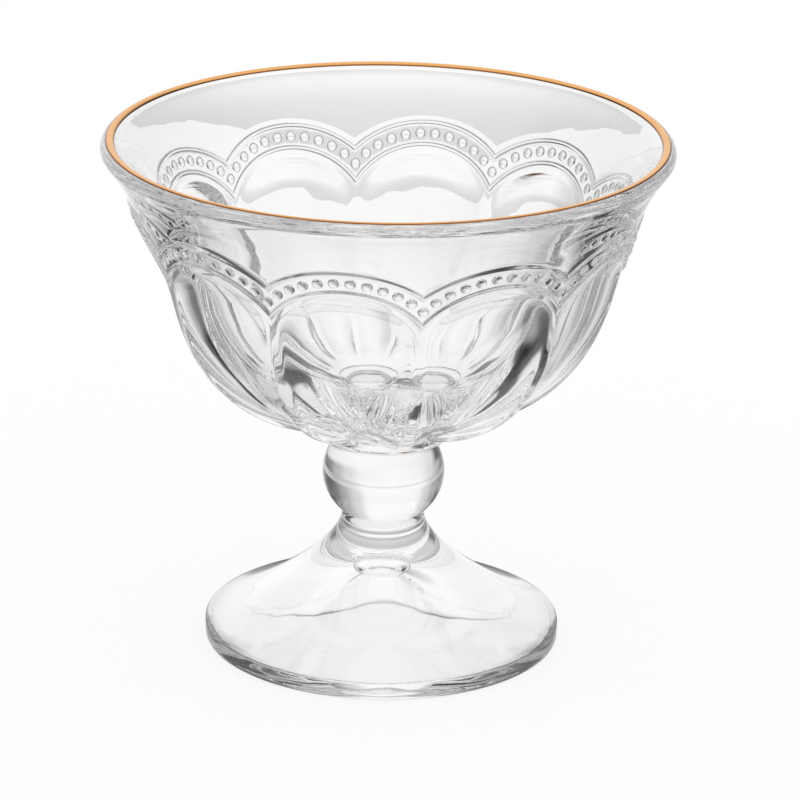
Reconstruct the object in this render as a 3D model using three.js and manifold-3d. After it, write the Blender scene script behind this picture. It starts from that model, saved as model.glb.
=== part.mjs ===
// Footed dessert glass of clear pressed glass with a gilt lip. Millimetres, +Z up.
// The glass stands on z = 0 with its axis on the origin, and a cusp of the garland faces -Y.
import * as THREE from "three";
import { mergeGeometries, mergeVertices } from "three/addons/utils/BufferGeometryUtils.js";
import Module from "manifold-3d";

// Heights of the four glass pieces, which stand on each other.
const FOOT_HEIGHT = 26.4;
const KNOP_HEIGHT = 15.2;
const MERESE_THICKNESS = 2.2;
const BOWL_HEIGHT = 57.9;

// Foot: a bell with an upright edge, hollow underneath, that stands on a flat ring. The hollow's flank
// rises from the ring to a small dome.
const FOOT_RADIUS = 34.75;
const FOOT_EDGE_HEIGHT = 3.8;
const FOOT_EDGE_ROUND = 0.6;
const FOOT_BASE_ROUND = 0.9;
const STANDING_RING_WIDTH = 1.6;
const NECK_RADIUS = 8.1;
const NECK_STRAIGHT = 1.4;
const FOOT_SHOULDER = new THREE.Vector2(22.9, 8.4);
const FOOT_THROAT = new THREE.Vector2(9.6, 18.4);
const HOLLOW_HEIGHT = 13;
const DOME_RADIUS = 4;
const DOME_HEIGHT = 1.7;
const FLANK_SLOPE = THREE.MathUtils.degToRad(30);
const FLANK_REACH = 8;
const RING_SLOPE = THREE.MathUtils.degToRad(8);
const RING_REACH = 5;

// Knop: a ball turned on an ellipse between its two flat joints.
const KNOP_RADIUS = 11.95;
const KNOP_TOP_RADIUS = 8.8;

// Merese: a collar with a softened edge.
const MERESE_RADIUS = 12.5;
const MERESE_EDGE = 0.5;

// Bowl: the outer profile runs from the joint to the waist and flares to a round lip.
const BOWL_SEAT_RADIUS = 12.4;
const BOWL_WAIST_RADIUS = 44.5;
const BOWL_WAIST_HEIGHT = 30.6;
const WAIST_LEAN = THREE.MathUtils.degToRad(14);
const SEAT_RISE = THREE.MathUtils.degToRad(10);
const LIP_LEAN = THREE.MathUtils.degToRad(37);
const MOUTH_RADIUS = 55;
const LIP_RADIUS = 1.6;
const SEAT_REACH = 19.5;
const WAIST_REACH_DOWN = 16.3;
const WAIST_REACH_UP = 17;
const LIP_REACH = 5.2;

// Inside of the bowl: a smooth cup.
const CUP_FLOOR_THICKNESS = 7.2;
const WALL_AT_WAIST = 5.1;
const CUP_WAIST_RISE = 0.7;
const CUP_FLOOR_REACH = 25;
const CUP_WAIST_REACH = 14;

// Garland: arches of beads in a channel between two ridges.
const ARCH_COUNT = 10;
const ARCH_RISE = 6.2;
const ARCH_BELOW_LIP = 12.4;
const BEADS_PER_ARCH = 11;
const BEAD_RADIUS = 1.1;
const BEAD_HEIGHT = 0.75;
const BEAD_SINK = 0.4;
const RIDGE_OFFSET = 2.2;
const RIDGE_WIDTH = 1.3;
const RIDGE_HEIGHT = 0.5;

// Flutes: hollow panels under the arches, parted by narrow ribs.
const FLUTE_DEPTH = 2.3;
const FLUTE_LAND = 0.9;
const FLUTE_SHOULDER = 6;
const FLUTE_RUNOUT = 14;
const RIB_WIDTH = 2.4;

// Gilding on the crown of the lip, a little towards the cup.
const GILT_WIDTH = 1.8;
const GILT_LEAN = THREE.MathUtils.degToRad(10);
const GILT_THICKNESS = 0.25;
const GILT_CLEARANCE = 0.06;

// Facets.
const PANEL_STEPS = 3;
const FLUTE_ROWS = 8;
const FLARE_ROWS = 3;
const LIP_STEPS = 6;
const CUP_STEPS = 8;
const GILT_STEPS = 3;
const STEM_SEGMENTS = 40;
const FOOT_SEGMENTS = 48;
const CURVE_STEPS = 8;
const CORNER_STEPS = 2;
const BEAD_SIDES = 6;
const BEAD_STEPS = 2;

const archAngle = (2 * Math.PI) / ARCH_COUNT;
const cuspAngle = -Math.PI / 2;

const clearGlass = new THREE.MeshStandardMaterial({
  color: 0xf2f5f4,
  roughness: 0.03,
  metalness: 0,
  transparent: true,
  opacity: 0.35,
});
const gilding = new THREE.MeshStandardMaterial({ color: 0xe0b387, roughness: 0.22, metalness: 1 });

// A unit vector in the profile plane that leans outward from the axis by an angle.
function leaning(angle) {
  return new THREE.Vector2(Math.sin(angle), Math.cos(angle));
}

// A smooth step from 0 to 1 as a share runs from 0 to 1.
function ease(share) {
  return THREE.MathUtils.smoothstep(share, 0, 1);
}

// Centre of the lip's round section, below the gilding that crowns the glass.
const lipCentre = new THREE.Vector2(MOUTH_RADIUS - LIP_RADIUS, BOWL_HEIGHT - LIP_RADIUS);
const lipDirection = leaning(LIP_LEAN);
const waistDirection = leaning(WAIST_LEAN);

function lipPoint(angle, distance) {
  return new THREE.Vector2(Math.cos(angle), Math.sin(angle)).multiplyScalar(distance).add(lipCentre);
}

// Outer profile of the bowl, from the rim of its joint to the start of the lip's round.
function outerProfile() {
  const seat = new THREE.Vector2(BOWL_SEAT_RADIUS, 0);
  const waist = new THREE.Vector2(BOWL_WAIST_RADIUS, BOWL_WAIST_HEIGHT);
  const lip = lipPoint(-LIP_LEAN, LIP_RADIUS);
  const profile = new THREE.CurvePath();
  profile.add(
    new THREE.CubicBezierCurve(
      seat,
      leaning(Math.PI / 2 - SEAT_RISE).multiplyScalar(SEAT_REACH).add(seat),
      waistDirection.clone().multiplyScalar(-WAIST_REACH_DOWN).add(waist),
      waist,
    ),
  );
  profile.add(
    new THREE.CubicBezierCurve(
      waist,
      waistDirection.clone().multiplyScalar(WAIST_REACH_UP).add(waist),
      lipDirection.clone().multiplyScalar(-LIP_REACH).add(lip),
      lip,
    ),
  );
  return profile;
}

// Inner profile of the bowl, from the end of the lip's round down to the axis.
function cupProfile() {
  const lip = lipPoint(Math.PI - LIP_LEAN, LIP_RADIUS);
  const waist = new THREE.Vector2(
    BOWL_WAIST_RADIUS - WALL_AT_WAIST,
    BOWL_WAIST_HEIGHT + CUP_WAIST_RISE,
  );
  const floor = new THREE.Vector2(0, CUP_FLOOR_THICKNESS);
  const profile = new THREE.CurvePath();
  profile.add(
    new THREE.CubicBezierCurve(
      lip,
      lipDirection.clone().multiplyScalar(-LIP_REACH).add(lip),
      waistDirection.clone().multiplyScalar(WAIST_REACH_UP).add(waist),
      waist,
    ),
  );
  profile.add(
    new THREE.CubicBezierCurve(
      waist,
      waistDirection.clone().multiplyScalar(-CUP_WAIST_REACH).add(waist),
      new THREE.Vector2(CUP_FLOOR_REACH, CUP_FLOOR_THICKNESS),
      floor,
    ),
  );
  return profile;
}

const wall = outerProfile();
const wallLength = wall.getLength();
const archApex = wallLength - ARCH_BELOW_LIP;
const garlandRadius = wall.getPoint((archApex - ARCH_RISE / 2) / wallLength).x;
const archHalfWidth = (garlandRadius * archAngle) / 2;
const archRadius = (archHalfWidth ** 2 + ARCH_RISE ** 2) / (2 * ARCH_RISE);
const bandHalfWidth = RIDGE_OFFSET + RIDGE_WIDTH / 2;
const panelShare = 1 - RIB_WIDTH / 2 / archHalfWidth;

// The sides of the points across one arch: -1 is its left cusp, 0 its middle, and the right cusp
// belongs to the next arch. A rib lies between the panels of two arches.
const sides = [-1];
for (let step = -PANEL_STEPS; step <= PANEL_STEPS; step++) {
  sides.push((panelShare * step) / PANEL_STEPS);
}
const columns = ARCH_COUNT * sides.length;

function angleAt(arch, side) {
  return cuspAngle + (arch + (1 + side) / 2) * archAngle;
}

// A point in space at a turn about the axis, from its radius and height.
function turned(point, angle) {
  return new THREE.Vector3(point.x * Math.cos(angle), point.x * Math.sin(angle), point.y);
}

// The wall at a distance up its profile: where it is, and which way is out.
function wallAt(distance) {
  const share = THREE.MathUtils.clamp(distance / wallLength, 0, 1);
  const step = 1e-4;
  const low = wall.getPoint(Math.max(share - step, 0));
  const high = wall.getPoint(Math.min(share + step, 1));
  const along = high.sub(low).normalize();
  return { point: wall.getPoint(share), out: new THREE.Vector2(along.y, -along.x) };
}

// Distance up the wall of a curve parallel to the arch, which is a circle on the unrolled wall.
function archUp(offset, side) {
  const squared = (archRadius + offset) ** 2 - (archHalfWidth * side) ** 2;
  return archApex - archRadius + Math.sqrt(Math.max(squared, 0));
}

// Depth of the flute: a shallow hollow across the panel that runs out at its arched top and its foot.
function fluteDepth(side, up, top) {
  const hollow = Math.max(0, 1 - (side / panelShare) ** 2);
  return FLUTE_DEPTH * hollow * ease((top - up) / FLUTE_SHOULDER) * ease(up / FLUTE_RUNOUT);
}

// A ring of points round the bowl, from the distance up the wall and the relief at each side.
function ring(placeAt) {
  const points = [];
  for (let arch = 0; arch < ARCH_COUNT; arch++) {
    for (const side of sides) {
      const { up, relief } = placeAt(side);
      const { point, out } = wallAt(up);
      points.push(turned(out.multiplyScalar(relief).add(point), angleAt(arch, side)));
    }
  }
  return points;
}

function roundRing(point) {
  const points = [];
  for (let arch = 0; arch < ARCH_COUNT; arch++) {
    points.push(...sides.map((side) => turned(point, angleAt(arch, side))));
  }
  return points;
}

// Rings of the bowl from its joint, over the lip and down the cup.
function bowlRings() {
  const rings = [];
  const panelTop = (side) => archUp(-bandHalfWidth - FLUTE_LAND, side);
  for (let row = 0; row <= FLUTE_ROWS; row++) {
    rings.push(
      ring((side) => {
        const top = panelTop(side);
        const up = (top * row) / FLUTE_ROWS;
        return { up, relief: -fluteDepth(side, up, top) };
      }),
    );
  }
  for (const middle of [-RIDGE_OFFSET, RIDGE_OFFSET]) {
    for (const edge of [-1, 0, 1]) {
      const relief = edge === 0 ? RIDGE_HEIGHT : 0;
      const offset = middle + (edge * RIDGE_WIDTH) / 2;
      rings.push(ring((side) => ({ up: archUp(offset, side), relief })));
    }
  }
  for (let row = 1; row < FLARE_ROWS; row++) {
    const rise = row / FLARE_ROWS;
    rings.push(
      ring((side) => {
        const up = THREE.MathUtils.lerp(archUp(bandHalfWidth, side), wallLength, rise);
        return { up, relief: 0 };
      }),
    );
  }
  for (let step = 0; step < LIP_STEPS; step++) {
    rings.push(roundRing(lipPoint(-LIP_LEAN + (Math.PI * step) / LIP_STEPS, LIP_RADIUS)));
  }
  const cup = cupProfile();
  for (let step = 0; step < CUP_STEPS; step++) {
    rings.push(roundRing(cup.getPoint(step / CUP_STEPS)));
  }
  return rings;
}

// A closed surface through a stack of rings, shut by a point on the axis at each end.
function closedRings(rings, first, last) {
  const positions = [first, ...rings.flat(), last].flatMap((point) => point.toArray());
  const around = rings[0].length;
  const end = positions.length / 3 - 1;
  const index = [];
  const at = (row, column) => 1 + row * around + (column % around);
  for (let column = 0; column < around; column++) {
    index.push(0, at(0, column + 1), at(0, column));
    index.push(at(rings.length - 1, column), at(rings.length - 1, column + 1), end);
    for (let row = 0; row + 1 < rings.length; row++) {
      index.push(at(row, column), at(row, column + 1), at(row + 1, column + 1));
      index.push(at(row, column), at(row + 1, column + 1), at(row + 1, column));
    }
  }
  return new THREE.BufferGeometry()
    .setAttribute("position", new THREE.Float32BufferAttribute(positions, 3))
    .setIndex(index);
}

// One bead: a low dome in the channel of its arch, with its skirt sunk into the wall.
function bead(arch, place) {
  const swing = Math.asin(archHalfWidth / archRadius) * ((2 * place) / BEADS_PER_ARCH - 1);
  const side = (archRadius * Math.sin(swing)) / archHalfWidth;
  const angle = angleAt(arch, side);
  const { point, out } = wallAt(archUp(0, side));
  const outward = new THREE.Quaternion().setFromUnitVectors(
    new THREE.Vector3(0, 1, 0),
    turned(out, angle),
  );
  const dome = new THREE.EllipseCurve(0, 0, BEAD_RADIUS, BEAD_HEIGHT, 0, Math.PI / 2).getPoints(BEAD_STEPS);
  dome[0].y = -BEAD_SINK;
  dome[BEAD_STEPS].x = 0;
  return new THREE.LatheGeometry([new THREE.Vector2(0, -BEAD_SINK), ...dome], BEAD_SIDES)
    .applyQuaternion(outward)
    .translate(...turned(point, angle));
}

function allBeads() {
  const beads = [];
  for (let arch = 0; arch < ARCH_COUNT; arch++) {
    for (let place = 0; place < BEADS_PER_ARCH; place++) {
      beads.push(bead(arch, place));
    }
  }
  return mergeGeometries(beads);
}

const wasm = await Module();
wasm.setup();

function solid(geometry) {
  const bare = geometry.clone();
  bare.deleteAttribute("normal");
  bare.deleteAttribute("uv");
  const merged = mergeVertices(bare);
  return new wasm.Manifold(
    new wasm.Mesh({
      numProp: 3,
      vertProperties: new Float32Array(merged.attributes.position.array),
      triVerts: new Uint32Array(merged.index.array),
    }),
  );
}

function geometryOf(made) {
  const mesh = made.getMesh();
  const geometry = new THREE.BufferGeometry()
    .setAttribute("position", new THREE.BufferAttribute(mesh.vertProperties, 3))
    .setIndex(new THREE.BufferAttribute(mesh.triVerts, 1));
  geometry.computeVertexNormals();
  return geometry;
}

// The bowl's wall with the beads of the garland joined to it.
function bowlGeometry() {
  const floor = new THREE.Vector3(0, 0, CUP_FLOOR_THICKNESS);
  const blank = closedRings(bowlRings(), new THREE.Vector3(), floor);
  return geometryOf(solid(blank).add(solid(allBeads())));
}

// A body of revolution about Z from a profile of radii and heights that runs upward on the outside.
function revolved(profile, segments) {
  return new THREE.LatheGeometry(profile, segments).rotateX(Math.PI / 2);
}

function mereseGeometry() {
  const profile = [
    new THREE.Vector2(0, 0),
    new THREE.Vector2(MERESE_RADIUS - MERESE_EDGE, 0),
    new THREE.Vector2(MERESE_RADIUS, MERESE_EDGE),
    new THREE.Vector2(MERESE_RADIUS, MERESE_THICKNESS - MERESE_EDGE),
    new THREE.Vector2(MERESE_RADIUS - MERESE_EDGE, MERESE_THICKNESS),
    new THREE.Vector2(0, MERESE_THICKNESS),
  ];
  return revolved(profile, STEM_SEGMENTS);
}

// The knop's side is part of an ellipse that passes through both joints.
function knopGeometry() {
  const topRatio = Math.sqrt(1 - (KNOP_TOP_RADIUS / KNOP_RADIUS) ** 2);
  const bottomRatio = Math.sqrt(1 - (NECK_RADIUS / KNOP_RADIUS) ** 2);
  const halfHeight = KNOP_HEIGHT / (topRatio + bottomRatio);
  const middle = halfHeight * bottomRatio;
  const side = new THREE.EllipseCurve(
    0,
    middle,
    KNOP_RADIUS,
    halfHeight,
    -Math.asin(bottomRatio),
    Math.asin(topRatio),
  ).getPoints(CURVE_STEPS);
  side[0].set(NECK_RADIUS, 0);
  side[CURVE_STEPS].set(KNOP_TOP_RADIUS, KNOP_HEIGHT);
  const profile = [new THREE.Vector2(0, 0), ...side, new THREE.Vector2(0, KNOP_HEIGHT)];
  return revolved(profile, STEM_SEGMENTS);
}

// Points on part of an ellipse in the profile plane, between two angles.
function arcPoints(centre, across, up, from, to, steps) {
  return new THREE.EllipseCurve(centre.x, centre.y, across, up, from, to, to < from).getPoints(steps);
}

// The foot's profile runs from the top of the hollow down to the ring, round the edge and up the bell.
function footGeometry() {
  const low = new THREE.Vector2(FOOT_RADIUS - FOOT_BASE_ROUND, FOOT_BASE_ROUND);
  const high = new THREE.Vector2(FOOT_RADIUS - FOOT_EDGE_ROUND, FOOT_EDGE_HEIGHT - FOOT_EDGE_ROUND);
  const domeBase = new THREE.Vector2(DOME_RADIUS, HOLLOW_HEIGHT - DOME_HEIGHT);
  const ringInside = new THREE.Vector2(low.x - STANDING_RING_WIDTH, 0);
  const neck = new THREE.Vector2(NECK_RADIUS, FOOT_HEIGHT - NECK_STRAIGHT);
  const dome = arcPoints(
    new THREE.Vector2(0, domeBase.y),
    DOME_RADIUS,
    DOME_HEIGHT,
    Math.PI / 2,
    0,
    CURVE_STEPS / 2,
  );
  dome[0].x = 0;
  const flank = new THREE.CubicBezierCurve(
    domeBase,
    leaning(Math.PI / 2 + FLANK_SLOPE).multiplyScalar(FLANK_REACH).add(domeBase),
    leaning(Math.PI / 2 + RING_SLOPE).multiplyScalar(-RING_REACH).add(ringInside),
    ringInside,
  ).getPoints(CURVE_STEPS);
  const lowCorner = arcPoints(low, FOOT_BASE_ROUND, FOOT_BASE_ROUND, -Math.PI / 2, 0, CORNER_STEPS);
  const highCorner = arcPoints(high, FOOT_EDGE_ROUND, FOOT_EDGE_ROUND, 0, Math.PI / 3, CORNER_STEPS);
  const bell = new THREE.CubicBezierCurve(
    highCorner[CORNER_STEPS],
    FOOT_SHOULDER,
    FOOT_THROAT,
    neck,
  ).getPoints(CURVE_STEPS);
  const profile = [
    ...dome,
    ...flank.slice(1),
    ...lowCorner,
    ...highCorner,
    ...bell.slice(1),
    new THREE.Vector2(NECK_RADIUS, FOOT_HEIGHT),
    new THREE.Vector2(0, FOOT_HEIGHT),
  ];
  return revolved(profile, FOOT_SEGMENTS);
}

// A thin crescent over the crown of the lip.
function giltGeometry() {
  const spread = GILT_WIDTH / LIP_RADIUS / 2;
  const arc = (distance, from, to) =>
    Array.from({ length: GILT_STEPS + 1 }, (_, step) =>
      lipPoint(THREE.MathUtils.lerp(from, to, step / GILT_STEPS), distance),
    );
  const inner = LIP_RADIUS + GILT_CLEARANCE;
  const right = Math.PI / 2 + GILT_LEAN - spread;
  const left = Math.PI / 2 + GILT_LEAN + spread;
  const profile = [...arc(inner + GILT_THICKNESS, right, left), ...arc(inner, left, right)];
  return revolved([...profile, profile[0].clone()], columns);
}

const glass = new THREE.Group();

function place(name, geometry, material, height) {
  const mesh = new THREE.Mesh(geometry, material);
  mesh.name = name;
  mesh.position.z = height;
  glass.add(mesh);
}

const bowlStart = FOOT_HEIGHT + KNOP_HEIGHT + MERESE_THICKNESS;
place("foot", footGeometry(), clearGlass, 0);
place("knop", knopGeometry(), clearGlass, FOOT_HEIGHT);
place("merese", mereseGeometry(), clearGlass, FOOT_HEIGHT + KNOP_HEIGHT);
place("bowl", bowlGeometry(), clearGlass, bowlStart);
place("gilt_rim", giltGeometry(), gilding, bowlStart);

export default glass;
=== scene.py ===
"""Looks of a footed dessert glass: clear pressed glass with hollow flutes, beaded arches and a gilt lip."""
import math

import bpy
import numpy as np
from bpy.props import FloatProperty, IntProperty, PointerProperty, StringProperty
from mathutils import Matrix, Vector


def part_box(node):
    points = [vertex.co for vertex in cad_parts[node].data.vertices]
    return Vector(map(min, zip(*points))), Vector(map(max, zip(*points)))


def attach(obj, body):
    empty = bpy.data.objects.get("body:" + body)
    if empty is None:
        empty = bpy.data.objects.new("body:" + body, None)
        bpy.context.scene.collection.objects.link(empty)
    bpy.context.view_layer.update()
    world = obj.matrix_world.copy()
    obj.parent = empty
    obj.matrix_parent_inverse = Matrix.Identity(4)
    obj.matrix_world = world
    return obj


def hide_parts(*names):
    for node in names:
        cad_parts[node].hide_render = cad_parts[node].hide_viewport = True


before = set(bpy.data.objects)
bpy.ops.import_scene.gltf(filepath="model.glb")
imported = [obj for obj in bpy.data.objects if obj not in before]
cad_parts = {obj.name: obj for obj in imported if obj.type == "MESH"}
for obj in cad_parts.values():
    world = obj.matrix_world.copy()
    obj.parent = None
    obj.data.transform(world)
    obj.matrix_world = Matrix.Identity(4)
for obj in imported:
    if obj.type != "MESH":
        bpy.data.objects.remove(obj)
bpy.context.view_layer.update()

bl_info = {
    "name": "Dessert Glass",
    "version": (1, 0, 0),
    "blender": (4, 5, 0),
    "location": "View3D > Sidebar > Dessert Glass",
    "description": "Builds a footed dessert glass of clear pressed glass with a gilt lip",
    "category": "Add Mesh",
}

MM = 0.001
BODY = "root"
BOWL_LOW, BOWL_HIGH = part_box("bowl")
MERESE_LOW, MERESE_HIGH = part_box("merese")
KNOP_LOW, KNOP_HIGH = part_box("knop")
FOOT_LOW, FOOT_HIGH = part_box("foot")

# A cusp of the garland faces -Y
FIRST_CUSP = -math.pi / 2

# Points on each curve of the bowl's profiles
PROFILE_STEPS = 600
# Rings of points on the bowl
FLUTE_ROWS = 40
RIDGE_ROWS = 9
FLARE_ROWS = 12
LIP_ROWS = 11
CUP_ROWS = 31
# The flutes' rings draw closer towards their tops by this power
FLUTE_ROW_POWER = 1.3
# A rib takes at most this share of half its panel, where the bowl is narrow
RIB_SHARE_LIMIT = 0.4
# Points along each side of a bead's cell, rings from the cell's outline to the bead, and rings up its dome
SIDE_STEPS = 6
CELL_ROWS = 4
BEAD_ROWS = 6
# Points round the stem and the foot, and rings of points on them
STEM_COLUMNS = 192
MERESE_EDGE_ROWS = 7
KNOP_ROWS = 81
DOME_ROWS = 14
FLANK_ROWS = 48
CORNER_ROWS = 8
BELL_ROWS = 72
# Points round the gold band, across its middle and across each thin edge
GILT_COLUMNS = 2 * STEM_COLUMNS
GILT_ROWS = 19
GILT_EDGE_ROWS = 4
# Share of the gold's thickness that is left at its edges
GILT_EDGE_FILM = 0.15
# The foot's upper corner turns this far before the bell starts
CORNER_TURN = math.pi / 3
# Points that agree to this many decimals of a millimetre become one
WELD_DECIMALS = 5
# Edges that are sharper than this stay crisp
SHARP_ANGLE = math.radians(50)
# Material indices of a glass piece and of the gold band
OPEN_GLASS, FUSED = 0, 1
FULL_GOLD, THIN_GOLD = 0, 1

WHITE = (1, 1, 1, 1)
BLACK = (0, 0, 0, 1)
# The table lies this far under the foot, so that the two don't coincide
TABLE_GAP = 0.05 * MM
# Points round the table's edge
TABLE_POINTS = 96
# Width of the camera's sensor in millimetres, as the lens is
SENSOR_WIDTH = 36.0
# A ray crosses both faces of many walls and beads, and is mirrored inside them, before it leaves the glass
GLASS_BOUNCES = 32


def length(name, description, millimetres):
    """A length property, given in millimetres and kept in metres."""
    return FloatProperty(
        name=name, description=description, default=millimetres * MM, unit="LENGTH", precision=5
    )


def angle(name, description, degrees):
    """An angle property, given in degrees and kept in radians."""
    return FloatProperty(
        name=name, description=description, default=math.radians(degrees), subtype="ANGLE"
    )


def factor(name, description, default):
    """A property between 0 and 1."""
    return FloatProperty(
        name=name, description=description, default=default, min=0, max=1, subtype="FACTOR"
    )


class DG_PG_wall(bpy.types.PropertyGroup):
    """Sizes of the bowl's outer wall, its lip and the smooth cup inside"""

    seat_radius: length("Seat radius", "Radius of the flat joint under the bowl", 12.4)
    seat_rise: angle("Seat rise", "Slope of the wall where it leaves the joint", 10)
    seat_reach: length("Seat reach", "How far the wall follows its first slope", 19.5)
    waist_radius: length("Waist radius", "Radius of the ribs at the waist", 44.5)
    waist_height: length("Waist height", "Height of the waist above the joint", 30.6)
    waist_lean: angle("Waist lean", "Lean of the wall at the waist", 14)
    waist_reach_down: length("Reach below the waist", "How far the waist's lean carries down", 16.3)
    waist_reach_up: length("Reach above the waist", "How far the waist's lean carries up", 17)
    lip_lean: angle("Lip lean", "Lean of the wall under the lip", 37)
    lip_reach: length("Lip reach", "How far the lip's lean carries down", 5.2)
    lip_radius: length("Lip radius", "Radius of the lip's round section", 1.6)
    wall_at_waist: length("Wall at the waist", "Thickness from the ribs to the cup", 5.1)
    cup_waist_rise: length("Cup waist rise", "How much higher the cup's waist lies", 0.7)
    cup_waist_reach: length("Cup waist reach", "How far the cup's waist carries down", 14)
    cup_floor: length("Cup floor", "Thickness of the glass under the cup", 7.2)
    cup_floor_reach: length("Cup floor reach", "How far the cup's floor stays level", 25)


class DG_PG_garland(bpy.types.PropertyGroup):
    """Sizes of the beaded arches round the bowl"""

    arch_count: IntProperty(name="Arches", description="Arches round the bowl", default=10, min=3)
    arch_rise: length("Arch rise", "Height of an arch above its cusps", 6.2)
    below_lip: length("Below the lip", "From the lip down to the top of the arches", 12.4)
    beads: IntProperty(name="Beads", description="Beads in each arch", default=11, min=3)
    bead_radius: length("Bead radius", "Radius of a bead", 1.1)
    bead_height: length("Bead height", "How far a bead stands out", 0.75)
    ridge_offset: length("Ridge offset", "From the beads to the middle of a ridge", 2.2)
    ridge_width: length("Ridge width", "Width of a ridge", 1.3)
    ridge_height: length("Ridge height", "How far a ridge stands out", 0.5)


class DG_PG_flutes(bpy.types.PropertyGroup):
    """Sizes of the hollow panels under the arches"""

    depth: length("Depth", "Depth of a flute at its middle", 2.3)
    land: length("Land", "Plain strip between the lower ridge and the flute", 0.9)
    shoulder: length("Shoulder", "Length over which the arched top of a flute sinks in", 5.6)
    runout: length("Run-out", "Length over which a flute fades at its foot", 14)
    rib_width: length("Rib width", "Width of the rib between two flutes", 2.4)
    rib_round: factor("Rib roundness", "Softness of the rib's edges", 0.06)


class DG_PG_stem(bpy.types.PropertyGroup):
    """Sizes of the merese, the knop and the neck"""

    merese_edge: length("Merese edge", "Rounding of the merese", 0.5)
    knop_top_radius: length("Knop top", "Radius of the knop's upper joint", 8.8)
    neck_radius: length("Neck radius", "Radius of the joint between knop and foot", 8.1)


class DG_PG_foot(bpy.types.PropertyGroup):
    """Sizes of the bell foot"""

    edge_height: length("Edge height", "Height of the foot's upright edge", 3.8)
    edge_round: length("Edge round", "Rounding of the edge's upper corner", 0.6)
    base_round: length("Base round", "Rounding of the edge's lower corner", 0.9)
    ring_width: length("Standing ring", "Width of the ring that the glass stands on", 1.6)
    neck_straight: length("Straight neck", "Height of the straight part of the neck", 1.4)
    shoulder_radius: length("Shoulder radius", "Radius of the pull at the bell's shoulder", 22.9)
    shoulder_height: length("Shoulder height", "Height of the pull at the bell's shoulder", 8.4)
    throat_radius: length("Throat radius", "Radius of the pull at the bell's throat", 9.6)
    throat_height: length("Throat height", "Height of the pull at the bell's throat", 18.4)
    hollow_height: length("Hollow height", "Height of the hollow under the foot", 13.0)
    dome_radius: length("Dome radius", "Radius of the small dome at the top of the hollow", 4)
    dome_height: length("Dome height", "Height of the dome above the flank", 1.7)
    flank_slope: angle("Flank slope", "Slope of the flank where it leaves the dome", 30)
    flank_reach: length("Flank reach", "How far the flank keeps its slope at the dome", 8)
    ring_slope: angle("Ring slope", "Slope of the flank where it meets the standing ring", 8)
    ring_reach: length("Ring reach", "How far the flank keeps its slope at the ring", 5)


class DG_PG_finish(bpy.types.PropertyGroup):
    """Colours and gloss of the glass and the gold, and sizes of the gold band"""

    glass_tint: StringProperty(
        name="Glass tint", description="sRGB colour of the glass", default="#FEFEFE"
    )
    glass_ior: FloatProperty(
        name="Glass IOR", description="Refraction of soda-lime glass", default=1.52
    )
    ripple_width: length("Ripple width", "Width of the chill ripples on the glass", 7)
    ripple_height: length("Ripple height", "Height of the chill ripples", 0.055)
    gilt_colour: StringProperty(
        name="Gilt colour", description="sRGB colour of the gold", default="#EFB26E"
    )
    edge_colour: StringProperty(
        name="Edge colour", description="sRGB colour of the gold's thin edges", default="#96603A"
    )
    gilt_smooth: factor("Gilt smoothest", "Roughness where the gold is smoothest", 0.14)
    gilt_rough: factor("Gilt roughest", "Roughness where the gold is roughest", 0.3)
    film_spacing: length("Film spacing", "Spacing of the uneven spots in the gold", 1.5)
    film_height: length("Film height", "Height of the uneven spots", 0.02)
    gilt_width: length("Gilt width", "Width of the gold band over the lip", 1.8)
    gilt_lean: angle("Gilt lean", "Turn of the band's middle from the crown towards the cup", 10)
    gilt_edge: length("Gilt edge", "Width of the thin edge on both sides of the band", 0.3)
    gilt_lift: length("Gilt lift", "Gap between the glass and the gold", 0.02)
    gilt_thickness: length("Gilt thickness", "Thickness of the gold at its middle", 0.12)


class DG_PG_stage(bpy.types.PropertyGroup):
    """Camera, table and light"""

    azimuth: angle("Azimuth", "Turn of the camera about the glass", -8.4)
    distance: length("Distance", "Camera's distance from the axis", 871.7)
    height: length("Height", "Camera's height above the table", 362.7)
    pitch: angle("Pitch", "Downward tilt of the camera", 19.81)
    yaw: angle("Yaw", "Sideways turn of the camera", 0.197)
    roll: angle("Roll", "Roll of the camera", 0.931)
    lens: FloatProperty(
        name="Lens", description="Focal length in millimetres", default=214.3, unit="CAMERA"
    )
    table_radius: length("Table radius", "Radius of the table", 3000)
    shadow: factor("Shadow", "Share of the table's white that takes shadow", 0.18)
    # Painted shade: bent rays see the paper under the foot drawn darker, between the near and far distances
    # below
    shade_under_foot: factor("Under the foot", "Brightness of the paper under the foot", 0.89)
    under_near: length("Under near", "From the axis to where the paper starts to change", 35)
    under_far: length("Under far", "From the axis to where the paper lies open", 60)
    heading: angle("Heading", "Turn of the white backdrop from the camera's axis", 8)
    # Painted shade: bent rays see a grey band on the flat table from the seam out to the sweep end; no sweep
    # is built
    seam_distance: length("Seam", "From the axis to the seam where the table meets the sweep", 284)
    sweep_end: length("Sweep end", "From the axis to where the sweep is white again", 400)
    painted_band_grey: factor("Seam grey", "Brightness just past the seam", 0.75)
    softbox_low: angle("Softbox low", "Elevation where the soft light starts to show", 33)
    softbox_high: angle("Softbox high", "Elevation where the soft light is full", 52)


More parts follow.
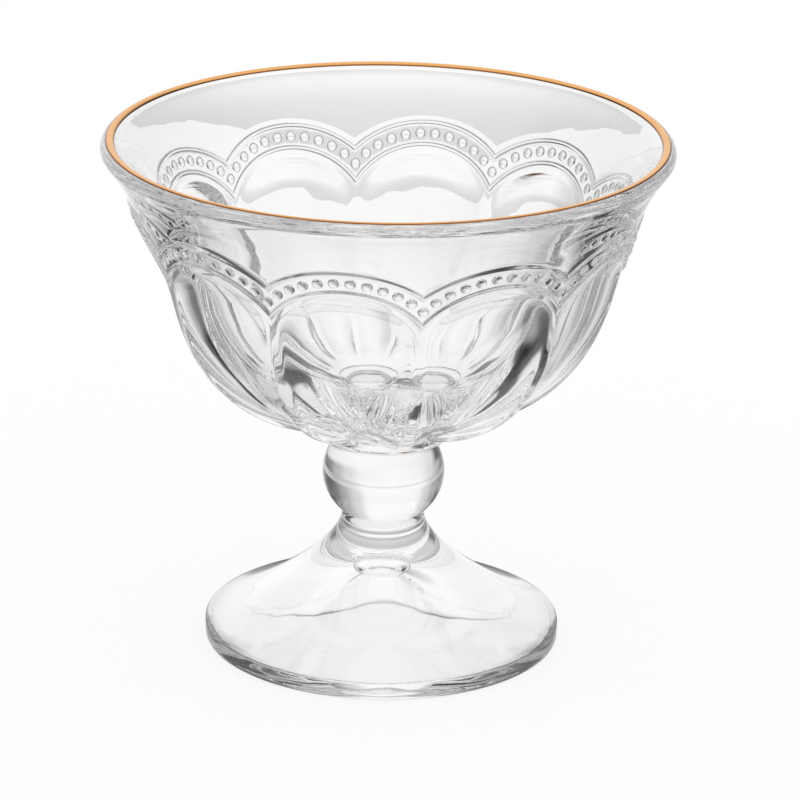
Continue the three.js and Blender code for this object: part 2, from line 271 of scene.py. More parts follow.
# Zones of the table from the glass outwards, with painted light and shade that bent rays see on the flat
# paper: the heading of the zone's painted bright side in degrees from the camera's axis, and its brightness
# against the bearing from that heading in degrees
PAINTED_LIGHT_ZONES = (
    (-13, (
        (0, 1.0), (30, 0.95), (50, 0.8), (64, 0.1),
        (80, 0.0), (100, 0.02), (125, 0.4), (180, 0.55),
    )),
    (6, (
        (0, 1.0), (18, 0.95), (30, 0.75), (42, 0.5), (58, 0.2),
        (70, 0.04), (88, 0.04), (108, 0.4), (180, 0.6),
    )),
    (8, (
        (0, 1.0), (18, 1.0), (34, 0.7), (50, 0.55), (75, 0.75), (110, 1.0), (180, 1.0),
    )),
)
# Where each zone passes into the next one, from and to in millimetres from the axis
ZONE_CHANGES = ((85, 115), (200, 300))
# Brightness of the room against the bearing from the backdrop in degrees
ROOM_STOPS = (
    (0, 1.0), (18, 1.0), (28, 0.7), (40, 0.42), (52, 0.2),
    (62, 0.1), (84, 0.07), (102, 0.28), (150, 0.34), (180, 0.42),
)
# Painted shadows of the foot on the table, seen by bent rays, where it touches and beside it: how dark
# against the distance from the axis in millimetres, and against the bearing from straight behind in degrees
PAINTED_FOOT_SHADOWS = (
    (
        ((0, 0.0), (29, 0.0), (32, 1.0), (36, 1.0), (38, 0.0), (500, 0.0)),
        (
            (0, 0.4), (12, 0.45), (22, 0.85), (34, 0.7), (46, 0.3), (60, 0.12),
            (102, 0.1), (118, 0.7), (140, 0.95), (165, 0.9), (180, 0.6),
        ),
    ),
    (
        ((0, 0.0), (36, 0.0), (38, 1.0), (52, 1.0), (66, 0.0), (500, 0.0)),
        ((0, 0.2), (12, 0.25), (22, 0.85), (180, 0.9)),
    ),
)

SETTINGS = {
    "dg_wall": DG_PG_wall,
    "dg_garland": DG_PG_garland,
    "dg_flutes": DG_PG_flutes,
    "dg_stem": DG_PG_stem,
    "dg_foot": DG_PG_foot,
    "dg_finish": DG_PG_finish,
    "dg_stage": DG_PG_stage,
}


def linear(hex_colour):
    """Linear RGBA of an sRGB hex colour."""
    values = [int(hex_colour[i : i + 2], 16) / 255 for i in (1, 3, 5)]
    flat = [v / 12.92 if v <= 0.04045 else ((v + 0.055) / 1.055) ** 2.4 for v in values]
    return (*flat, 1.0)


def add_node(tree, kind, values=None, links=None, **settings):
    """Add one node: settings are its own attributes, values fill its sockets and links feed them."""
    node = tree.nodes.new(kind)
    for name, value in settings.items():
        setattr(node, name, value)
    for socket, value in (values or {}).items():
        node.inputs[socket].default_value = value
    for socket, source in (links or {}).items():
        tree.links.new(source, node.inputs[socket])
    return node


def empty_material(name):
    """A new material with an empty node tree, and that tree."""
    material = bpy.data.materials.new(name)
    material.use_nodes = True
    material.node_tree.nodes.clear()
    return material, material.node_tree


def pressed_glass(finish):
    """Clear soda-lime glass from a press mould, fire-polished: it shows what is behind it, bent, and a
    mirror gloss. Slow chill ripples keep its reflections from being perfectly even."""
    if "pressed_glass" in bpy.data.materials:
        return bpy.data.materials["pressed_glass"]
    material, tree = empty_material("pressed_glass")
    place = add_node(tree, "ShaderNodeTexCoord").outputs["Object"]
    ripples = add_node(
        tree,
        "ShaderNodeTexNoise",
        {"Scale": 1 / finish.ripple_width, "Detail": 1.0},
        {"Vector": place},
    )
    bump = add_node(
        tree,
        "ShaderNodeBump",
        {"Strength": 1.0, "Distance": finish.ripple_height},
        {"Height": ripples.outputs["Fac"]},
    )
    glass = add_node(
        tree,
        "ShaderNodeBsdfPrincipled",
        {
            "Base Color": linear(finish.glass_tint),
            "Roughness": 0.0,
            "IOR": finish.glass_ior,
            "Transmission Weight": 1.0,
        },
        {"Normal": bump.outputs["Normal"]},
    )
    add_node(tree, "ShaderNodeOutputMaterial", links={"Surface": glass.outputs["BSDF"]})
    return material


def fused_joint():
    """Where two gathers of hot glass are fused no surface is left, so light passes straight on."""
    if "fused_joint" in bpy.data.materials:
        return bpy.data.materials["fused_joint"]
    material, tree = empty_material("fused_joint")
    clear = add_node(tree, "ShaderNodeBsdfTransparent", {"Color": WHITE})
    add_node(tree, "ShaderNodeOutputMaterial", links={"Surface": clear.outputs["BSDF"]})
    return material


def fired_gold(name, finish, colour):
    """Bright gold brushed on the lip and fired: a warm mirror with a slightly uneven film, drawn coarser
    than a brush leaves it so that it shows. The band's thin edges are drawn in a darker, browner gold."""
    material, tree = empty_material(name)
    place = add_node(tree, "ShaderNodeTexCoord").outputs["Object"]
    film = add_node(
        tree,
        "ShaderNodeTexNoise",
        {"Scale": 1 / finish.film_spacing, "Detail": 3.0},
        {"Vector": place},
    )
    gloss = add_node(
        tree,
        "ShaderNodeMapRange",
        {"To Min": finish.gilt_smooth, "To Max": finish.gilt_rough},
        {"Value": film.outputs["Fac"]},
    )
    bump = add_node(
        tree,
        "ShaderNodeBump",
        {"Strength": 0.2, "Distance": finish.film_height},
        {"Height": film.outputs["Fac"]},
    )
    gold = add_node(
        tree,
        "ShaderNodeBsdfPrincipled",
        {"Base Color": linear(colour), "Metallic": 1.0},
        {"Roughness": gloss.outputs["Result"], "Normal": bump.outputs["Normal"]},
    )
    add_node(tree, "ShaderNodeOutputMaterial", links={"Surface": gold.outputs["BSDF"]})
    return material


def bezier(start, start_pull, end_pull, end, steps=PROFILE_STEPS):
    """Cubic curve: four points of a profile weighted by (1-t)^3, 3(1-t)^2 t, 3(1-t) t^2 and t^3."""
    t = np.linspace(0, 1, steps)[:, None]
    early, late = 1 - t, t
    return (
        early**3 * np.array(start)
        + 3 * early**2 * late * np.array(start_pull)
        + 3 * early * late**2 * np.array(end_pull)
        + late**3 * np.array(end)
    )


def arc(centre, radius, start, end, steps):
    """Points of a profile on a circle between two angles."""
    turn = np.linspace(start, end, steps)
    return np.array(centre) + radius * np.stack((np.cos(turn), np.sin(turn)), axis=1)


def lengths_along(points):
    """Distance along a polyline from its start to each of its points."""
    return np.concatenate(([0], np.cumsum(np.hypot(*np.diff(points, axis=0).T))))


def spaced(points, shares):
    """Points at the given shares of a polyline's length."""
    reach = lengths_along(points)
    at = np.asarray(shares) * reach[-1]
    return np.stack([np.interp(at, reach, points[:, i]) for i in (0, 1)], axis=1)


def leaning(lean, reach):
    """A step in the profile plane that leans outward from the axis by an angle."""
    return np.array((math.sin(lean), math.cos(lean))) * reach


def full_turn(columns):
    """Evenly spaced angles round the axis."""
    return np.linspace(0, 2 * math.pi, columns, endpoint=False)


def revolve(profile, around):
    """Rings round the axis: each point of the profile (radius, height) turned through the angles."""
    profile = np.asarray(profile)
    radius, height = profile[:, :1], profile[:, 1:]
    return np.stack((radius * np.cos(around), radius * np.sin(around), height + 0 * around), axis=-1)


def sheet_quads(rows, columns):
    """Quads between neighbouring rings of points, closed round the axis."""
    row, column = np.meshgrid(np.arange(rows - 1), np.arange(columns), indexing="ij")
    beside = (column + 1) % columns
    low, high = row * columns, (row + 1) * columns
    corners = (low + column, low + beside, high + beside, high + column)
    return np.stack(corners, axis=-1).reshape(-1, 4)


def make_piece(name, patches, materials, node):
    """A closed mesh from patches of rings: points that coincide become one, and a quad that has lost a
    side at a pole becomes a triangle. Each patch is (rings, material index)."""
    points, quads, paints, start = [], [], [], 0
    for rings, paint in patches:
        rows, columns = rings.shape[:2]
        faces = sheet_quads(rows, columns) + start
        points.append(rings.reshape(-1, 3))
        quads.append(faces)
        paints.append(np.full(len(faces), paint))
        start += rows * columns
    points, quads, paints = np.concatenate(points), np.concatenate(quads), np.concatenate(paints)
    _, first, welded = np.unique(
        np.round(points / MM, WELD_DECIMALS), axis=0, return_index=True, return_inverse=True
    )
    quads = welded.reshape(-1)[quads]
    lost = quads == np.roll(quads, -1, axis=1)
    whole, cut = lost.sum(axis=1) == 0, lost.sum(axis=1) == 1
    triangles = quads[cut][~lost[cut]].reshape(-1, 3)
    faces = quads[whole].tolist() + triangles.tolist()
    paints = np.concatenate((paints[whole], paints[cut]))
    mesh = bpy.data.meshes.new(name)
    mesh.from_pydata(points[first].tolist(), [], faces)
    mesh.polygons.foreach_set("material_index", paints.astype(np.int32))
    mesh.polygons.foreach_set("use_smooth", np.ones(len(faces), dtype=bool))
    mesh.set_sharp_from_angle(angle=SHARP_ANGLE)
    for material in materials:
        mesh.materials.append(material)
    mesh.update()
    if mesh.validate():
        raise RuntimeError(f"{name} had faulty faces")
    piece = bpy.data.objects.new(name, mesh)
    bpy.context.scene.collection.objects.link(piece)
    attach(piece, BODY)
    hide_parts(node)
    return piece


def press_glass(scene, node, patches):
    """A piece of pressed glass with its fused joints, in place of its CAD node."""
    materials = (pressed_glass(scene.dg_finish), fused_joint())
    make_piece(f"{node}_glass", patches, materials, node)


def lip_centre(wall):
    """Centre of the lip's round section in the profile plane."""
    return np.array((BOWL_HIGH.x - wall.lip_radius, BOWL_HIGH.z - wall.lip_radius))


def outer_profile(wall):
    """Outer profile of the bowl: a cubic curve from the joint to the waist and one from there to the lip."""
    seat = np.array((wall.seat_radius, BOWL_LOW.z))
    waist = np.array((wall.waist_radius, BOWL_LOW.z + wall.waist_height))
    lip = lip_centre(wall) + leaning(math.pi / 2 + wall.lip_lean, wall.lip_radius)
    below = bezier(
        seat,
        seat + leaning(math.pi / 2 - wall.seat_rise, wall.seat_reach),
        waist - leaning(wall.waist_lean, wall.waist_reach_down),
        waist,
    )
    above = bezier(
        waist,
        waist + leaning(wall.waist_lean, wall.waist_reach_up),
        lip - leaning(wall.lip_lean, wall.lip_reach),
        lip,
    )
    return np.concatenate((below, above[1:]))


def cup_profile(wall):
    """Inner profile of the bowl: two cubic curves from the lip down to the middle of the cup's floor."""
    lip = lip_centre(wall) - leaning(math.pi / 2 + wall.lip_lean, wall.lip_radius)
    waist = np.array(
        (wall.waist_radius - wall.wall_at_waist, BOWL_LOW.z + wall.waist_height + wall.cup_waist_rise)
    )
    floor = BOWL_LOW.z + wall.cup_floor
    above = bezier(
        lip,
        lip - leaning(wall.lip_lean, wall.lip_reach),
        waist + leaning(wall.waist_lean, wall.waist_reach_up),
        waist,
    )
    below = bezier(
        waist,
        waist - leaning(wall.waist_lean, wall.cup_waist_reach),
        (wall.cup_floor_reach, floor),
        (0, floor),
    )
    return np.concatenate((above, below[1:]))


class BowlWall:
    """The bowl's outer wall unrolled: angles run round it and distances run up it from the joint."""

    def __init__(self, wall, garland, flutes):
        self.garland, self.flutes = garland, flutes
        points = outer_profile(wall)
        self.reach = lengths_along(points)
        along = np.gradient(points, self.reach, axis=0)
        along /= np.hypot(*along.T)[:, None]
        self.lines = (points[:, 0], points[:, 1], along[:, 1], -along[:, 0])
        self.length = self.reach[-1]
        self.apex = self.length - garland.below_lip
        self.arch_angle = 2 * math.pi / garland.arch_count
        middle = np.interp(self.apex - garland.arch_rise / 2, self.reach, points[:, 0])
        self.half_width = middle * self.arch_angle / 2
        self.arch_radius = (self.half_width**2 + garland.arch_rise**2) / (2 * garland.arch_rise)
        self.channel = garland.ridge_offset - garland.ridge_width / 2
        self.band = garland.ridge_offset + garland.ridge_width / 2
        self.flute_top = -self.band - flutes.land
        steps = garland.beads * SIDE_STEPS
        self.turns = np.arange(garland.arch_count * steps) / steps
        self.even = FIRST_CUSP + self.turns * self.arch_angle

    def at(self, up):
        """Radius, height and outward normal of the wall at a distance up it."""
        return [np.interp(up, self.reach, line) for line in self.lines]

    def wrap(self, around, up, relief):
        """Points in space: the wall's point pushed out along its normal by the relief, at its angle."""
        radius, height, out, rise = self.at(up)
        radius = radius + relief * out
        return np.stack(
            (radius * np.cos(around), radius * np.sin(around), height + relief * rise), axis=-1
        )

    def arch(self, turns, offset):
        """Angle and distance up of a curve parallel to the arches. Turns count arches from the first
        cusp. An arch is part of a circle on the unrolled wall, and its parallel ends on the lines through
        the cusps."""
        index = np.floor(turns)
        radius = self.arch_radius + offset
        swing = np.arcsin(self.half_width / radius) * (2 * (turns - index) - 1)
        across = radius * np.sin(swing) / self.half_width
        around = FIRST_CUSP + (index + (1 + across) / 2) * self.arch_angle
        return around, self.apex - self.arch_radius + radius * np.cos(swing)

    def hollow(self, around, up):
        """Depth of the flutes: a parabola across the panel between two ribs, which sinks in below an
        arched top by 1-(1-x)^2 and fades at its foot by x^2 (3-2x). The square root softens the ribs'
        edges."""
        sizes = self.flutes
        share = (around - FIRST_CUSP) / self.arch_angle
        side = 2 * (share - np.floor(share)) - 1
        radius = self.at(up)[0]
        rib = np.minimum(sizes.rib_width / (radius * self.arch_angle), RIB_SHARE_LIMIT)
        panel = 1 - (side / (1 - rib)) ** 2
        panel = (panel + np.sqrt(panel**2 + sizes.rib_round**2)) / 2
        top_radius = self.arch_radius + self.flute_top
        top = self.apex - self.arch_radius + np.sqrt(top_radius**2 - (side * self.half_width) ** 2)
        below = np.clip((top - up) / sizes.shoulder, 0, 1)
        foot = np.clip(up / sizes.runout, 0, 1)
        return sizes.depth * panel * (1 - (1 - below) ** 2) * foot**2 * (3 - 2 * foot)

    def fluted_rows(self):
        """Rings from the joint to the arched tops of the flutes, closer together towards the tops."""
        rise = (1 - (1 - np.linspace(0, 1, FLUTE_ROWS)) ** FLUTE_ROW_POWER)[:, None]
        around, top = self.arch(self.turns, self.flute_top)
        around = self.even + (around - self.even) * rise
        up = top * rise
        return self.wrap(around, up, -self.hollow(around, up))

    def ridge_rows(self, offset):
        """Rings over one ridge, whose section is a squared cosine."""
        width, height = self.garland.ridge_width, self.garland.ridge_height
        return np.stack([
            self.wrap(*self.arch(self.turns, offset + step * width), height * math.cos(math.pi * step) ** 2)
            for step in np.linspace(-0.5, 0.5, RIDGE_ROWS)
        ])

    def flare_rows(self):
        """Rings from the upper ridge to the start of the lip's round."""
        rise = np.linspace(0, 1, FLARE_ROWS)[1:, None]
        around, low = self.arch(self.turns, self.band)
        return self.wrap(around + (self.even - around) * rise, low + (self.length - low) * rise, 0.0)

    def bead_patches(self):
        """Each bead's cell of the channel is a polar grid: its rings pass from the cell's outline to the
        bead's base circle and climb its dome, an ellipse turned about the wall's normal, to the top."""
        garland = self.garland
        turns = np.arange(garland.arch_count * garland.beads)[:, None] / garland.beads
        run = np.linspace(-1, 1, SIDE_STEPS + 1)[:-1]
        edge = np.ones(SIDE_STEPS)
        along = np.concatenate((run, edge, -run, -edge))
        across = np.concatenate((-edge, run, edge, -run))
        around, up = self.arch(turns + along / (2 * garland.beads), across * self.channel)
        middle, height = self.arch(turns, 0.0)
        radius = self.at(height)[0]
        outline = np.stack(((around - middle) * radius, up - height), axis=-1)
        circle = garland.bead_radius * outline / np.hypot(outline[..., 0], outline[..., 1])[..., None]
        inward = np.linspace(0, 1, CELL_ROWS)
        climb = np.linspace(0, math.pi / 2, BEAD_ROWS)[1:]
        flat = [outline * (1 - share) + circle * share for share in inward]
        dome = [circle * math.cos(step) for step in climb]
        relief = [0.0] * len(flat) + [garland.bead_height * math.sin(step) for step in climb]
        rings = [
            self.wrap(middle + ring[..., 0] / radius, height + ring[..., 1], rise)
            for ring, rise in zip(flat + dome, relief)
        ]
        return list(np.stack(rings, axis=1))


def joint_radius(scene):
    """Radius of the fused faces of the bowl and the merese."""
    return MERESE_HIGH.x - scene.dg_stem.merese_edge


class DG_OT_bowl(bpy.types.Operator):
    """Press the bowl: flutes, garland of beaded arches, rounded lip and smooth cup"""

    bl_idname = "dessert_glass.bowl"
    bl_label = "Bowl"

    def execute(self, context):
        scene = context.scene
        wall, garland = scene.dg_wall, scene.dg_garland
        shape = BowlWall(wall, garland, scene.dg_flutes)
        joint = joint_radius(scene)
        base = BOWL_LOW.z
        disc = revolve(((0, base), (joint, base)), shape.even)
        fluted = shape.fluted_rows()
        seat = np.concatenate((disc[1:], fluted[:1]))
        lower = shape.ridge_rows(-garland.ridge_offset)
        upper = shape.ridge_rows(garland.ridge_offset)
        lip = arc(lip_centre(wall), wall.lip_radius, -wall.lip_lean, math.pi - wall.lip_lean, LIP_ROWS)
        cup = spaced(cup_profile(wall), np.linspace(0, 1, CUP_ROWS))
        inside = revolve(np.concatenate((lip[1:], cup[1:])), shape.even)
        patches = [
            (disc, FUSED),
            (seat, OPEN_GLASS),
            (np.concatenate((fluted, lower)), OPEN_GLASS),
            (np.concatenate((upper, shape.flare_rows(), inside)), OPEN_GLASS),
        ]
        patches += [(cell, OPEN_GLASS) for cell in shape.bead_patches()]
        press_glass(scene, "bowl", patches)
        return {"FINISHED"}


class DG_OT_merese(bpy.types.Operator):
    """Press the collar between bowl and knop, with fused faces above and below"""

    bl_idname = "dessert_glass.merese"
    bl_label = "Merese"

    def execute(self, context):
        scene = context.scene
        edge, knop_top = scene.dg_stem.merese_edge, scene.dg_stem.knop_top_radius
        joint = joint_radius(scene)
        low, high = MERESE_LOW.z, MERESE_HIGH.z
        around = full_turn(STEM_COLUMNS)
        # Flat from the knop outwards, then a quarter circle at each corner
        side = np.concatenate((
            ((knop_top, low),),
            arc((joint, low + edge), edge, -math.pi / 2, 0, MERESE_EDGE_ROWS),
            arc((joint, high - edge), edge, 0, math.pi / 2, MERESE_EDGE_ROWS),
        ))
        patches = [
            (revolve(((0, low), (knop_top, low)), around), FUSED),
            (revolve(side, around), OPEN_GLASS),
            (revolve(((joint, high), (0, high)), around), FUSED),
        ]
        press_glass(scene, "merese", patches)
        return {"FINISHED"}


class DG_OT_knop(bpy.types.Operator):
    """Press the ball knop, a short piece of an ellipsoid"""

    bl_idname = "dessert_glass.knop"
    bl_label = "Knop"

    def execute(self, context):
        scene = context.scene
        top_radius, neck = scene.dg_stem.knop_top_radius, scene.dg_stem.neck_radius
        widest = KNOP_HIGH.x
        low, high = KNOP_LOW.z, KNOP_HIGH.z
        around = full_turn(STEM_COLUMNS)
        # The ellipse has the joints' radii at these shares of its half height above and below its middle
        top = math.sqrt(1 - (top_radius / widest) ** 2)
        bottom = math.sqrt(1 - (neck / widest) ** 2)
        half = (high - low) / (top + bottom)
        swing = np.linspace(-math.asin(bottom), math.asin(top), KNOP_ROWS)
        side = np.stack((widest * np.cos(swing), low + half * (bottom + np.sin(swing))), axis=1)
        side[0] = (neck, low)
        side[-1] = (top_radius, high)
        patches = [
            (revolve(((0, low), (neck, low)), around), FUSED),
            (revolve(side, around), OPEN_GLASS),
            (revolve(((top_radius, high), (0, high)), around), FUSED),
        ]
        press_glass(scene, "knop", patches)
        return {"FINISHED"}


class DG_OT_foot(bpy.types.Operator):
    """Press the bell foot, hollow underneath, on its narrow standing ring"""

    bl_idname = "dessert_glass.foot"
    bl_label = "Foot"

    def execute(self, context):
        scene = context.scene
        foot, neck = scene.dg_foot, scene.dg_stem.neck_radius
        low, high = FOOT_LOW.z, FOOT_HIGH.z
        around = full_turn(STEM_COLUMNS)
        top_corner = np.array((FOOT_HIGH.x - foot.edge_round, low + foot.edge_height - foot.edge_round))
        base_corner = np.array((FOOT_HIGH.x - foot.base_round, low + foot.base_round))
        ring = np.array((base_corner[0] - foot.ring_width, low))
        # The hollow: a quarter ellipse for the dome and a cubic curve for the flank down to the ring
        dome = np.linspace(math.pi / 2, 0, DOME_ROWS)
        crown = low + foot.hollow_height - foot.dome_height
        cap = np.stack(
            (foot.dome_radius * np.cos(dome), crown + foot.dome_height * np.sin(dome)), axis=1
        )
        fall = leaning(math.pi / 2 + foot.flank_slope, foot.flank_reach)
        spread = leaning(math.pi / 2 + foot.ring_slope, foot.ring_reach)
        flank = bezier(cap[-1], cap[-1] + fall, ring - spread, ring, FLANK_ROWS)
        # The outside: a circle's arc at each corner of the edge and a cubic curve for the bell
        rim = np.concatenate((
            arc(base_corner, foot.base_round, -math.pi / 2, 0, CORNER_ROWS),
            arc(top_corner, foot.edge_round, 0, CORNER_TURN, CORNER_ROWS),
        ))
        bell = bezier(
            rim[-1],
            (foot.shoulder_radius, foot.shoulder_height),
            (foot.throat_radius, foot.throat_height),
            (neck, high - foot.neck_straight),
            BELL_ROWS,
        )
        side = np.concatenate((cap, flank[1:], rim, bell[1:], ((neck, high),)))
        patches = [
            (revolve(side, around), OPEN_GLASS),
            (revolve(((neck, high), (0, high)), around), FUSED),
        ]
        press_glass(scene, "foot", patches)
        return {"FINISHED"}


class DG_OT_gilt(bpy.types.Operator):
    """Brush the gold band on the crown of the lip"""

    bl_idname = "dessert_glass.gilt"
    bl_label = "Gilt band"

    def execute(self, context):
        scene = context.scene
        wall, finish = scene.dg_wall, scene.dg_finish
        spread = finish.gilt_width / wall.lip_radius / 2
        edge = 1 - 2 * finish.gilt_edge / finish.gilt_width
        share = np.concatenate((
            np.linspace(-1, -edge, GILT_EDGE_ROWS),
            np.linspace(-edge, edge, GILT_ROWS)[1:-1],
            np.linspace(edge, 1, GILT_EDGE_ROWS),
        ))
        # A crescent on the lip's circle that thins out with the fourth power of the way to its edges
        turn = math.pi / 2 + finish.gilt_lean + spread * share
        face = np.stack((np.cos(turn), np.sin(turn)), axis=1)
        under = wall.lip_radius + finish.gilt_lift
        over = under + finish.gilt_thickness * (1 - (1 - GILT_EDGE_FILM) * share**4)
        outer = lip_centre(wall) + face * over[:, None]
        inner = lip_centre(wall) + face[::-1] * under
        rings = revolve(np.concatenate((outer, inner, outer[:1])), full_turn(GILT_COLUMNS))
        first, last = GILT_EDGE_ROWS - 1, len(share) - GILT_EDGE_ROWS
        patches = [
            (rings[: first + 1], THIN_GOLD),
            (rings[first : last + 1], FULL_GOLD),
            (rings[last:], THIN_GOLD),
        ]
        golds = (
            fired_gold("fired_gold", finish, finish.gilt_colour),
            fired_gold("thin_gold", finish, finish.edge_colour),
        )
        make_piece("gilt_band", patches, golds, "gilt_rim")
        return {"FINISHED"}


def bent_ray(tree):
    """Sockets that are 1 for a ray bent or mirrored by glass or gold, and for a ray from the camera."""
    path = add_node(tree, "ShaderNodeLightPath")
    either = add_node(
        tree,
        "ShaderNodeMath",
        links={0: path.outputs["Is Glossy Ray"], 1: path.outputs["Is Transmission Ray"]},
        operation="MAXIMUM",
    )
    return either.outputs["Value"], path.outputs["Is Camera Ray"]


def grey_ramp(tree, value, stops):
    """Grey looked up in stops of (value, grey), with smooth steps between them."""
    last = stops[-1][0]
    share = add_node(tree, "ShaderNodeMath", {1: last}, {0: value}, operation="DIVIDE")
    ramp = add_node(tree, "ShaderNodeValToRGB", links={"Fac": share.outputs["Value"]})
    ramp.color_ramp.interpolation = "EASE"
    for place, _ in stops[1:-1]:
        ramp.color_ramp.elements.new(place / last)
    for element, (_, grey) in zip(ramp.color_ramp.elements, stops):
        element.color = (grey, grey, grey, 1)
    return ramp.outputs["Color"]


def bearing(tree, way, heading):
    """Angle in degrees, seen from above, between a way from the glass and a heading."""
    turned = add_node(
        tree, "ShaderNodeVectorRotate", {"Angle": -heading}, {"Vector": way}, rotation_type="Z_AXIS"
    )
    parts = add_node(tree, "ShaderNodeSeparateXYZ", links={"Vector": turned.outputs["Vector"]})
    turn = add_node(
        tree, "ShaderNodeMath", links={0: parts.outputs["X"], 1: parts.outputs["Y"]}, operation="ARCTAN2"
    )
    size = add_node(tree, "ShaderNodeMath", links={0: turn.outputs["Value"]}, operation="ABSOLUTE")
    degrees = add_node(tree, "ShaderNodeMath", links={0: size.outputs["Value"]}, operation="DEGREES")
    return degrees.outputs["Value"]


def smooth_share(tree, value, start, end):
    """A value's way from a start to an end, as a smooth step from 0 to 1."""
    share = add_node(
        tree,
        "ShaderNodeMapRange",
        {"From Min": start, "From Max": end},
        {"Value": value},
        interpolation_type="SMOOTHSTEP",
    )
    return share.outputs["Result"]


def painted_zone_light(tree, stage, place, millimetres):
    """Painted light and shade of the open table for bent rays: zones that pass into each other, each painted
    bright towards its own heading.
    """
    zones = [
        grey_ramp(tree, bearing(tree, place, stage.azimuth + math.radians(heading)), stops)
        for heading, stops in PAINTED_LIGHT_ZONES
    ]
    paper = zones[0]
    for (near, far), zone in zip(ZONE_CHANGES, zones[1:]):
        share = smooth_share(tree, millimetres, near, far)
        mixed = add_node(
            tree, "ShaderNodeMixRGB", links={"Fac": share, "Color1": paper, "Color2": zone}
        )
        paper = mixed.outputs["Color"]
    return paper


def shaded_paper(tree, stage, place, reach, millimetres):
    """The open table with the painted shade under the foot and the painted shadows of the foot."""
    # Painted shade under the foot, then the painted shadows of the foot, all seen by bent rays
    under = smooth_share(tree, reach, stage.under_far, stage.under_near)
    paper = add_node(
        tree,
        "ShaderNodeMixRGB",
        {"Color2": (stage.shade_under_foot, stage.shade_under_foot, stage.shade_under_foot, 1)},
        {"Fac": under, "Color1": painted_zone_light(tree, stage, place, millimetres)},
    )
    way = bearing(tree, place, stage.azimuth)
    for reach_stops, bearing_stops in PAINTED_FOOT_SHADOWS:
        shade = add_node(
            tree,
            "ShaderNodeMath",
            links={0: grey_ramp(tree, millimetres, reach_stops), 1: grey_ramp(tree, way, bearing_stops)},
            operation="MULTIPLY",
        )
        paper = add_node(
            tree,
            "ShaderNodeMixRGB",
            {"Color2": BLACK},
            {"Fac": shade.outputs["Value"], "Color1": paper.outputs["Color"]},
        )
    return paper.outputs["Color"]


def painted_band_strength(tree, stage, reach):
    """Strength of the table's painted light for bent rays: 1 up to the seam, a painted grey drop just past
    it, and 1 again at the sweep end.
    """
    past = add_node(
        tree, "ShaderNodeMath", {1: stage.seam_distance}, {0: reach}, operation="GREATER_THAN"
    )
    drop = add_node(
        tree,
        "ShaderNodeMapRange",
        {
            "From Min": stage.seam_distance,
            "From Max": stage.sweep_end,
            "To Min": stage.painted_band_grey - 1,
            "To Max": 0.0,
        },
        {"Value": reach},
    )
    strength = add_node(
        tree,
        "ShaderNodeMath",
        {2: 1.0},
        {0: past.outputs["Value"], 1: drop.outputs["Result"]},
        operation="MULTIPLY_ADD",
    )
    return strength.outputs["Value"]


def table_white(stage):
    """White paper under the glass. The camera sees it white but for the shadow, and light falls on plain
    white paper. Bent rays see the paper glowing with painted light and shade: the foot's painted shadow,
    painted shade beside the glass, and a painted grey band where a paper sweep would start to turn up."""
    material, tree = empty_material("table_white")
    bent, camera = bent_ray(tree)
    place = add_node(tree, "ShaderNodeTexCoord").outputs["Object"]
    distance = add_node(tree, "ShaderNodeVectorMath", links={0: place}, operation="LENGTH")
    reach = distance.outputs["Value"]
    millimetres = add_node(tree, "ShaderNodeMath", {1: MM}, {0: reach}, operation="DIVIDE")
    glow = add_node(
        tree,
        "ShaderNodeEmission",
        links={
            "Color": shaded_paper(tree, stage, place, reach, millimetres.outputs["Value"]),
            "Strength": painted_band_strength(tree, stage, reach),
        },
    )
    paper = add_node(tree, "ShaderNodeBsdfDiffuse", {"Color": WHITE})
    white = add_node(tree, "ShaderNodeEmission", {"Color": WHITE, "Strength": 1.0})
    shadowed = add_node(
        tree,
        "ShaderNodeMixShader",
        {"Fac": stage.shadow},
        {1: white.outputs["Emission"], 2: paper.outputs["BSDF"]},
    )
    plain = add_node(
        tree,
        "ShaderNodeMixShader",
        links={"Fac": bent, 1: paper.outputs["BSDF"], 2: glow.outputs["Emission"]},
    )
    seen = add_node(
        tree,
        "ShaderNodeMixShader",
        links={"Fac": camera, 1: plain.outputs["Shader"], 2: shadowed.outputs["Shader"]},
    )
    add_node(tree, "ShaderNodeOutputMaterial", links={"Surface": seen.outputs["Shader"]})
    return material


def studio_world(scene, stage):
    """Even white light for the object. Glass and gold see a white backdrop behind the glass, a wide soft
    light overhead, and a room that is dark beside the glass and grey behind the camera."""
    world = bpy.data.worlds.new("studio")
    world.use_nodes = True
    tree = world.node_tree
    tree.nodes.clear()
    way = add_node(tree, "ShaderNodeTexCoord").outputs["Generated"]
    room = grey_ramp(tree, bearing(tree, way, stage.azimuth + stage.heading), ROOM_STOPS)
    parts = add_node(tree, "ShaderNodeSeparateXYZ", links={"Vector": way})
    overhead = smooth_share(
        tree, parts.outputs["Z"], math.sin(stage.softbox_low), math.sin(stage.softbox_high)
    )
    seen = add_node(
        tree, "ShaderNodeMixRGB", {"Color2": WHITE}, {"Fac": overhead, "Color1": room}
    )
    bent, _ = bent_ray(tree)
    even = add_node(tree, "ShaderNodeBackground", {"Color": WHITE, "Strength": 1.0})
    shaded = add_node(
        tree, "ShaderNodeBackground", {"Strength": 1.0}, {"Color": seen.outputs["Color"]}
    )
    mixed = add_node(
        tree,
        "ShaderNodeMixShader",
        links={"Fac": bent, 1: even.outputs["Background"], 2: shaded.outputs["Background"]},
    )
    add_node(tree, "ShaderNodeOutputWorld", links={"Surface": mixed.outputs["Shader"]})
    scene.world = world


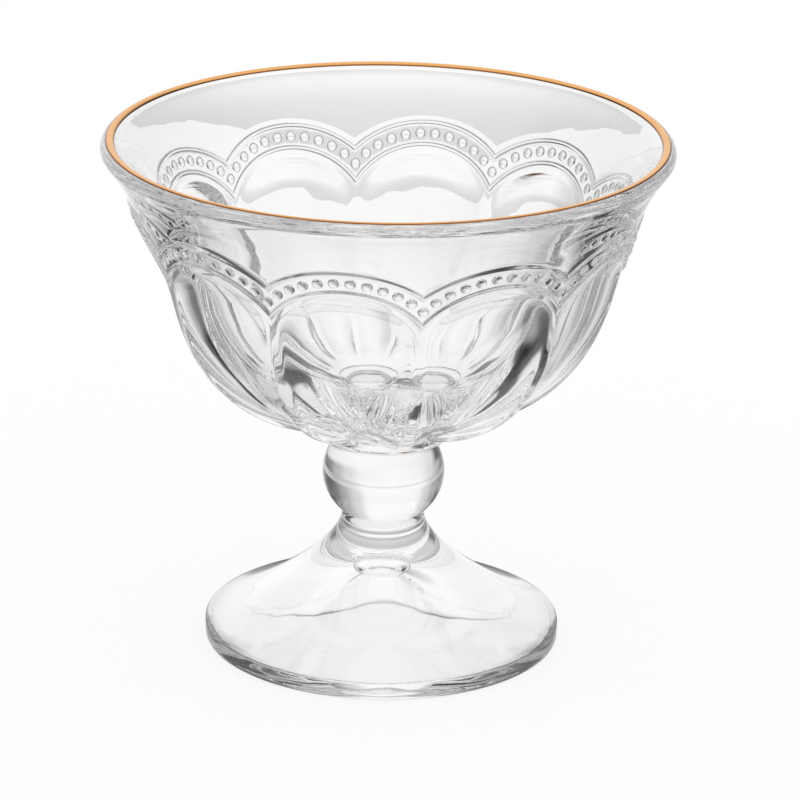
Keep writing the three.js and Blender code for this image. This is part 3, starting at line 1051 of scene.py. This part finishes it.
def place_camera(scene, stage):
    """A camera on the circle round the glass at its azimuth, tilted down, with a little yaw and roll."""
    data = bpy.data.cameras.new("camera")
    data.sensor_width = SENSOR_WIDTH
    data.lens = stage.lens
    camera = bpy.data.objects.new("camera", data)
    scene.collection.objects.link(camera)
    turn = Matrix.Rotation(stage.azimuth, 4, "Z")
    aim = Matrix.Rotation(-stage.yaw, 4, "Z") @ Matrix.Rotation(math.pi / 2 - stage.pitch, 4, "X")
    roll = Matrix.Rotation(stage.roll, 4, "Z")
    stand = Matrix.Translation((0, -stage.distance, stage.height))
    camera.matrix_world = turn @ stand @ aim @ roll
    scene.camera = camera


def lay_table(scene, stage):
    """A round, flat table of white paper just under the foot."""
    turn = full_turn(TABLE_POINTS)
    ring = np.stack((np.cos(turn), np.sin(turn), 0 * turn), axis=1) * stage.table_radius
    mesh = bpy.data.meshes.new("table")
    mesh.from_pydata(ring.tolist(), [], [list(range(TABLE_POINTS))])
    mesh.materials.append(table_white(stage))
    table = bpy.data.objects.new("table", mesh)
    table.location.z = FOOT_LOW.z - TABLE_GAP
    scene.collection.objects.link(table)


class DG_OT_stage(bpy.types.Operator):
    """Set the camera, the white table and the studio light"""

    bl_idname = "dessert_glass.stage"
    bl_label = "Stage"

    def execute(self, context):
        scene = context.scene
        place_camera(scene, scene.dg_stage)
        lay_table(scene, scene.dg_stage)
        studio_world(scene, scene.dg_stage)
        scene.view_settings.view_transform = "Standard"
        scene.cycles.max_bounces = GLASS_BOUNCES
        scene.cycles.transmission_bounces = GLASS_BOUNCES
        scene.cycles.glossy_bounces = GLASS_BOUNCES
        scene.cycles.transparent_max_bounces = GLASS_BOUNCES
        return {"FINISHED"}


OPERATORS = (DG_OT_bowl, DG_OT_merese, DG_OT_knop, DG_OT_foot, DG_OT_gilt, DG_OT_stage)


class DG_PT_sidebar(bpy.types.Panel):
    """Sizes and steps of the dessert glass"""

    bl_idname = "DG_PT_sidebar"
    bl_label = "Dessert Glass"
    bl_space_type = "VIEW_3D"
    bl_region_type = "UI"
    bl_category = "Dessert Glass"

    def draw(self, context):
        for operator in OPERATORS:
            self.layout.operator(operator.bl_idname)
        for name, group in SETTINGS.items():
            box = self.layout.box()
            box.label(text=group.__doc__)
            for key in group.__annotations__:
                box.prop(getattr(context.scene, name), key)


CLASSES = (*SETTINGS.values(), *OPERATORS, DG_PT_sidebar)


def register():
    for cls in CLASSES:
        bpy.utils.register_class(cls)
    for name, group in SETTINGS.items():
        setattr(bpy.types.Scene, name, PointerProperty(type=group))


def unregister():
    for name in SETTINGS:
        delattr(bpy.types.Scene, name)
    for cls in reversed(CLASSES):
        bpy.utils.unregister_class(cls)


def main():
    register()
    bpy.ops.dessert_glass.bowl()
    bpy.ops.dessert_glass.merese()
    bpy.ops.dessert_glass.knop()
    bpy.ops.dessert_glass.foot()
    bpy.ops.dessert_glass.gilt()
    bpy.ops.dessert_glass.stage()


if __name__ == "__main__":
    main()
